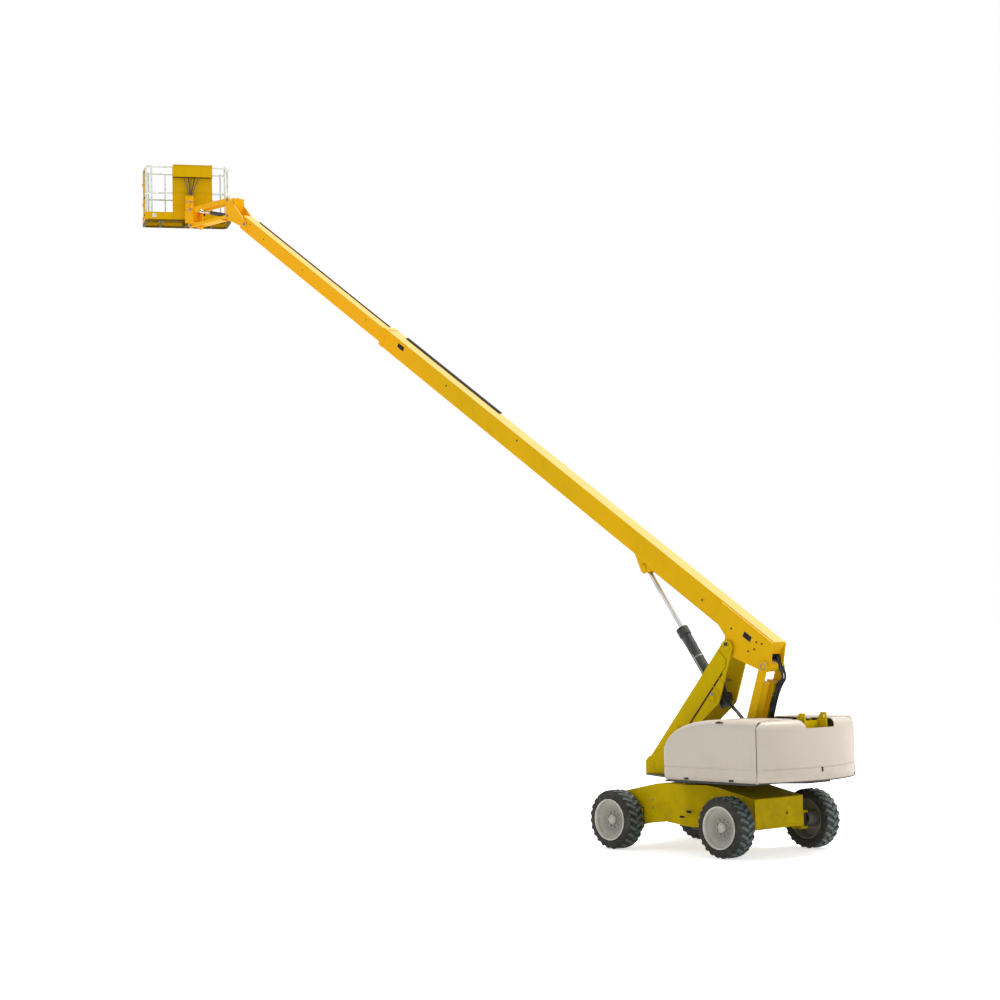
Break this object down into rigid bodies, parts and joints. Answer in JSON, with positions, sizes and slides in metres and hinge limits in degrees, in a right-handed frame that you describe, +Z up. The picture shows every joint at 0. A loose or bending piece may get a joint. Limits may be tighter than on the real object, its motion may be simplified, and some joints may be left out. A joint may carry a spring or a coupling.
{
  "type": "telescopic boom lift",
  "caption": "Self-propelled telescopic boom lift with counterweighted turntable, luffing jib, rotating work platform and lugged tyres.",
  "frame": {"origin": "on the ground under the slewing axis", "axes": "+X points to the steered axle and the counterweight, the boom points to -X, +Y is across the machine to its far side in the picture, +Z is up"},
  "size_m": [19.7038, 2.6174, 14.5199],
  "materials": {
    "yellow": "satin",
    "cover_grey": "satin",
    "rim_grey": "satin",
    "dark_grey": "matte",
    "cast_dark": "matte",
    "engine_grey": "matte",
    "tank_plastic": "matte",
    "chrome_rod": "polished",
    "tyre_rubber": "matte",
    "platform_yellow": "satin",
    "rail_galvanised": "satin",
    "pad_plastic": "matte",
    "hose_black": "matte"
  },
  "bodies": {
    "chassis": {"chassis_frame": "yellow", "fixed_axle": "dark_grey", "steer_axle": "dark_grey", "slew_bearing": "dark_grey"},
    "knuckle_left": {"knuckle_left": "dark_grey"},
    "knuckle_right": {"knuckle_right": "dark_grey"},
    "tie_rod": {"tie_rod": "dark_grey"},
    "wheel_fixed_left": {"tyre_fixed_left": "tyre_rubber", "rim_fixed_left": "rim_grey"},
    "wheel_fixed_right": {"tyre_fixed_right": "tyre_rubber", "rim_fixed_right": "rim_grey"},
    "wheel_steer_left": {"tyre_steer_left": "tyre_rubber", "rim_steer_left": "rim_grey"},
    "wheel_steer_right": {"tyre_steer_right": "tyre_rubber", "rim_steer_right": "rim_grey"},
    "turntable": {"turntable_frame": "yellow", "turntable_walls": "yellow", "counterweight": "cast_dark", "engine_block": "engine_grey", "hydraulic_tank": "tank_plastic", "rear_cover": "cover_grey"},
    "cover_left": {"cover_left": "cover_grey"},
    "cover_right": {"cover_right": "cover_grey"},
    "lift_arm": {"lift_arm": "yellow"},
    "rear_link": {"rear_link": "yellow"},
    "lift_barrel": {"lift_barrel": "dark_grey"},
    "lift_rod": {"lift_rod": "chrome_rod"},
    "base_boom": {"base_boom": "yellow", "wear_pads": "pad_plastic", "hose_carrier": "hose_black"},
    "fly_boom": {"fly_boom": "yellow", "fly_hose": "hose_black"},
    "tip_head": {"tip_head": "yellow"},
    "jib_upper": {"jib_upper": "yellow"},
    "jib_lower": {"jib_lower": "yellow"},
    "jib_barrel": {"jib_barrel": "dark_grey"},
    "jib_rod": {"jib_rod": "chrome_rod"},
    "platform_support": {"platform_support": "yellow"},
    "platform": {"platform_floor": "platform_yellow", "platform_rails": "rail_galvanised", "console": "platform_yellow", "platform_bracket": "dark_grey"},
    "gate": {"gate": "platform_yellow"}
  },
  "joints": [
    {"name": "wheel_fixed_left_spin", "type": "hinge", "parent": "chassis", "child": "wheel_fixed_left", "pos_m": [-1.28, -1.07, 0.5075], "axis": [0, 1, 0], "continuous": true},
    {"name": "wheel_fixed_right_spin", "type": "hinge", "parent": "chassis", "child": "wheel_fixed_right", "pos_m": [-1.28, 1.07, 0.5075], "axis": [0, 1, 0], "continuous": true},
    {"name": "wheel_steer_left_spin", "type": "hinge", "parent": "knuckle_left", "child": "wheel_steer_left", "pos_m": [1.28, -1.07, 0.5075], "axis": [0, 1, 0], "continuous": true},
    {"name": "wheel_steer_right_spin", "type": "hinge", "parent": "knuckle_right", "child": "wheel_steer_right", "pos_m": [1.28, 1.07, 0.5075], "axis": [0, 1, 0], "continuous": true},
    {"name": "steer_left", "type": "hinge", "parent": "chassis", "child": "knuckle_left", "pos_m": [1.28, -0.83, 0.5075], "axis": [0, 0, 1], "range_deg": [-30, 30]},
    {"name": "steer_right", "type": "hinge", "parent": "chassis", "child": "knuckle_right", "pos_m": [1.28, 0.83, 0.5075], "axis": [0, 0, 1], "range_deg": [-30, 30]},
    {"name": "tie_rod_slide", "type": "slide", "parent": "chassis", "child": "tie_rod", "axis": [0, 1, 0], "range_m": [-0.1, 0.1]},
    {"name": "slew", "type": "hinge", "parent": "chassis", "child": "turntable", "pos_m": [0, 0, 1.2], "axis": [0, 0, 1], "continuous": true},
    {"name": "cover_left_hinge", "type": "hinge", "parent": "turntable", "child": "cover_left", "pos_m": [1, -0.303, 2.252], "axis": [-1, 0, 0], "range_deg": [0, 60]},
    {"name": "cover_right_hinge", "type": "hinge", "parent": "turntable", "child": "cover_right", "pos_m": [1, 0.303, 2.252], "axis": [1, 0, 0], "range_deg": [0, 60]},
    {"name": "arm_raise", "type": "hinge", "parent": "turntable", "child": "lift_arm", "pos_m": [-1.2, 0, 1.42], "axis": [0, -1, 0], "range_deg": [-21.7, 24.5]},
    {"name": "boom_raise", "type": "hinge", "parent": "lift_arm", "child": "base_boom", "pos_m": [0.6, 0, 3.44], "axis": [0, 1, 0], "range_deg": [-53, 60]},
    {"name": "rear_link_swing", "type": "hinge", "parent": "turntable", "child": "rear_link", "pos_m": [0.81, 0, 1.38], "axis": [0, -1, 0], "range_deg": [-30.19, 34.11]},
    {"name": "lift_rod_swing", "type": "hinge", "parent": "base_boom", "child": "lift_rod", "pos_m": [-1.46, 0, 4.845], "axis": [0, -1, 0], "range_deg": [-9.4, 10.58]},
    {"name": "lift_cylinder", "type": "slide", "parent": "lift_rod", "child": "lift_barrel", "axis": [0.6042, 0, -0.7968], "range_m": [-0.679, 0.768]},
    {"name": "telescope", "type": "slide", "parent": "base_boom", "child": "fly_boom", "axis": [-0.8471, 0, 0.5314], "range_m": [-5.3, 0]},
    {"name": "tip_level", "type": "hinge", "parent": "fly_boom", "child": "tip_head", "pos_m": [-13.484, 0, 12.7765], "axis": [0, -1, 0], "range_deg": [-32.3, 36.5]},
    {"name": "jib_raise", "type": "hinge", "parent": "tip_head", "child": "jib_upper", "pos_m": [-14.12, 0, 13.42], "axis": [0, 1, 0], "range_deg": [-65, 70]},
    {"name": "jib_lower_swing", "type": "hinge", "parent": "tip_head", "child": "jib_lower", "pos_m": [-14.12, 0, 13.06], "axis": [0, 1, 0], "range_deg": [-65.5, 70.5]},
    {"name": "jib_barrel_swing", "type": "hinge", "parent": "tip_head", "child": "jib_barrel", "pos_m": [-14.12, 0, 13.06], "axis": [0, 1, 0], "range_deg": [-58.35, 62.8]},
    {"name": "jib_cylinder", "type": "slide", "parent": "jib_barrel", "child": "jib_rod", "axis": [-0.9706, 0, 0.2407], "range_m": [-0.345, 0.372]},
    {"name": "support_level", "type": "hinge", "parent": "jib_upper", "child": "platform_support", "pos_m": [-15.57, 0, 13.42], "axis": [0, -1, 0], "range_deg": [-65.5, 70.5]},
    {"name": "platform_rotate", "type": "hinge", "parent": "platform_support", "child": "platform", "pos_m": [-15.83, 0, 13.445], "axis": [0, 0, 1], "range_deg": [-52, 108]},
    {"name": "gate_hinge", "type": "hinge", "parent": "platform", "child": "gate", "pos_m": [-17.1303, -0.3857, 13.9], "axis": [0, 0, 1], "range_deg": [0, 85]}
  ],
  "couplings": [
    {"joint": "steer_right", "follows": "steer_left", "ratio": 1},
    {"joint": "tie_rod_slide", "follows": "steer_left", "m_per_rad": -0.19},
    {"joint": "arm_raise", "follows": "boom_raise", "ratio": 0.4},
    {"joint": "rear_link_swing", "follows": "boom_raise", "ratio": 0.5601},
    {"joint": "lift_rod_swing", "follows": "boom_raise", "ratio": 0.168},
    {"joint": "lift_cylinder", "follows": "boom_raise", "m_per_rad": 0.7288},
    {"joint": "tip_level", "follows": "boom_raise", "ratio": 0.6},
    {"joint": "jib_lower_swing", "follows": "jib_raise", "ratio": 1},
    {"joint": "jib_barrel_swing", "follows": "jib_raise", "ratio": 0.89},
    {"joint": "jib_cylinder", "follows": "jib_raise", "m_per_rad": 0.3},
    {"joint": "support_level", "follows": "jib_raise", "ratio": 1}
  ]
}
